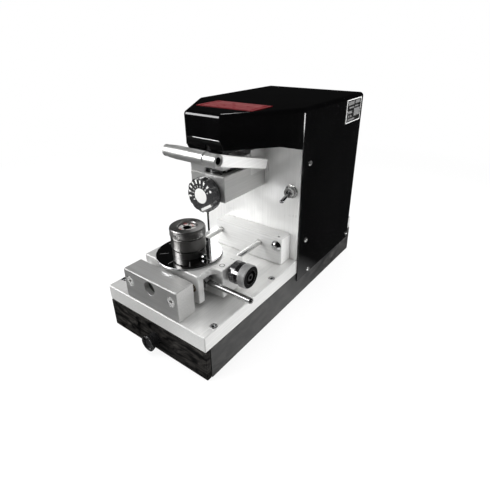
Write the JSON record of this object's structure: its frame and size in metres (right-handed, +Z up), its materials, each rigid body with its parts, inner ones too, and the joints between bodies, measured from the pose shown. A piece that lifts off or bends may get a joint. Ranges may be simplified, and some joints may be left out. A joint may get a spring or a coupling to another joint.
{
  "type": "key duplicating machine",
  "caption": "Bench machine that copies tubular keys: an indexing chuck with a dial on a rod-guided carriage, below a lever-fed cutter under a bent-sheet hood, on a base with a drawer.",
  "frame": {"origin": "centre of the base's underside, halfway along the base plate", "axes": "+X to the operator's right, +Y from the drawer to the back, +Z up"},
  "size_m": [0.1777, 0.3584, 0.2492],
  "materials": {
    "machined_aluminium": "milled faces with fine cutter marks",
    "black_gloss_paint": "gloss black enamel",
    "black_satin_paint": "satin black enamel",
    "bright_steel": "ground and polished",
    "plain_steel": "turned",
    "dark_steel": "blued steel with a turned finish",
    "black_screw_steel": "black oxide",
    "black_anodised": "black anodised",
    "black_plastic": "moulded",
    "bronze": "bored bush",
    "drive_belt_rubber": "flat belt",
    "red_label": "blank label",
    "silver_label": "blank etched plate"
  },
  "bodies": {
    "frame": {"base_frame": "black_satin_paint", "base_plate": "machined_aluminium", "plate_screws": "black_screw_steel", "frame_bolts": "black_screw_steel", "cap_screws": "plain_steel", "front_rod_block": "machined_aluminium", "rear_rod_block": "machined_aluminium", "guide_rods": "bright_steel", "stop_button": "bright_steel", "column_panel": "machined_aluminium", "gusset_plates": "machined_aluminium", "hood_cover": "black_gloss_paint", "cover_screws": "bright_steel", "name_plate": "red_label", "rating_plate": "silver_label", "power_inlet": "black_plastic", "head_block": "machined_aluminium", "fulcrum_block": "machined_aluminium", "bridge_plate": "machined_aluminium", "pulley_bearing": "plain_steel", "motor_body": "black_satin_paint", "drive_belt": "drive_belt_rubber", "lever_spring": "plain_steel", "switch_body": "bright_steel", "switch_nut": "bright_steel"},
    "drawer": {"drawer_tray": "plain_steel", "drawer_front": "black_satin_paint", "drawer_pull": "black_plastic"},
    "carriage": {"carriage_block": "machined_aluminium", "guide_bushes": "bronze", "pointer_pin": "bright_steel", "plunger_housing": "black_anodised", "plunger_spring": "bright_steel"},
    "clamp": {"clamp_ring": "plain_steel", "clamp_lever": "bright_steel"},
    "plunger": {"plunger_pin": "bright_steel", "plunger_knob": "black_anodised"},
    "work_head": {"work_spindle": "plain_steel", "spindle_retainer": "plain_steel", "dial_disc": "bright_steel", "chuck_body": "dark_steel", "lock_screw": "bright_steel", "chuck_collet": "plain_steel"},
    "chuck_cap": {"chuck_cap": "dark_steel"},
    "depth_dial": {"depth_knob": "black_anodised", "depth_shaft": "plain_steel"},
    "feed_lever": {"feed_arm": "machined_aluminium", "feed_grip": "machined_aluminium", "pivot_shaft": "plain_steel", "feed_yoke": "plain_steel"},
    "quill": {"quill_sleeve": "plain_steel", "quill_bearings": "bright_steel"},
    "cutter_spindle": {"cutter_arbor": "plain_steel", "collet_nut": "dark_steel", "cutter": "bright_steel"},
    "driven_pulley": {"spindle_pulley": "black_anodised"},
    "motor_rotor": {"motor_shaft": "plain_steel", "rotor_core": "plain_steel", "motor_pulley": "black_anodised"},
    "switch_bat": {"switch_bat": "bright_steel"}
  },
  "joints": [
    {"name": "drawer_slide", "type": "slide", "parent": "frame", "child": "drawer", "axis": [0, -1, 0], "range_m": [0, 0.12]},
    {"name": "carriage_slide", "type": "slide", "parent": "frame", "child": "carriage", "axis": [0, 1, 0], "range_m": [-0.006, 0.0575]},
    {"name": "clamp_turn", "type": "hinge", "parent": "carriage", "child": "clamp", "pos_m": [0.0318, -0.12385, 0.08105], "axis": [0, 1, 0], "range_deg": [-12, 15]},
    {"name": "plunger_slide", "type": "slide", "parent": "carriage", "child": "plunger", "axis": [1, 0, 0], "range_m": [-0.004, 0], "deforming": ["plunger_spring"]},
    {"name": "work_turn", "type": "hinge", "parent": "carriage", "child": "work_head", "pos_m": [0, -0.1112, 0.1], "axis": [0, 0, 1], "continuous": true},
    {"name": "cap_turn", "type": "hinge", "parent": "work_head", "child": "chuck_cap", "pos_m": [0, -0.1112, 0.128], "axis": [0, 0, 1], "range_deg": [-180, 180]},
    {"name": "depth_turn", "type": "hinge", "parent": "frame", "child": "depth_dial", "pos_m": [0, -0.0751, 0.1597], "axis": [0, 1, 0], "range_deg": [-150, 150]},
    {"name": "feed_turn", "type": "hinge", "parent": "frame", "child": "feed_lever", "pos_m": [0, -0.013, 0.184], "axis": [1, 0, 0], "range_deg": [0, 9.3], "stiffness_Nm_per_rad": 0.6, "springref_deg": -28.65},
    {"name": "quill_slide", "type": "slide", "parent": "frame", "child": "quill", "axis": [0, 0, 1], "range_m": [-0.0075, 0]},
    {"name": "cutter_spin", "type": "hinge", "parent": "quill", "child": "cutter_spindle", "pos_m": [0, -0.059, 0.165], "axis": [0, 0, 1], "continuous": true},
    {"name": "driven_spin", "type": "hinge", "parent": "frame", "child": "driven_pulley", "pos_m": [0, -0.059, 0.205], "axis": [0, 0, 1], "continuous": true},
    {"name": "motor_spin", "type": "hinge", "parent": "frame", "child": "motor_rotor", "pos_m": [0, 0.089, 0.205], "axis": [0, 0, 1], "continuous": true},
    {"name": "switch_flip", "type": "hinge", "parent": "frame", "child": "switch_bat", "pos_m": [0.0633, -0.0009, 0.1509], "axis": [1, 0, 0], "range_deg": [-38, 0]}
  ],
  "couplings": [
    {"joint": "quill_slide", "follows": "feed_turn", "m_per_rad": -0.04532},
    {"joint": "cutter_spin", "follows": "motor_spin", "ratio": 1.6147},
    {"joint": "driven_spin", "follows": "motor_spin", "ratio": 1.6147}
  ]
}
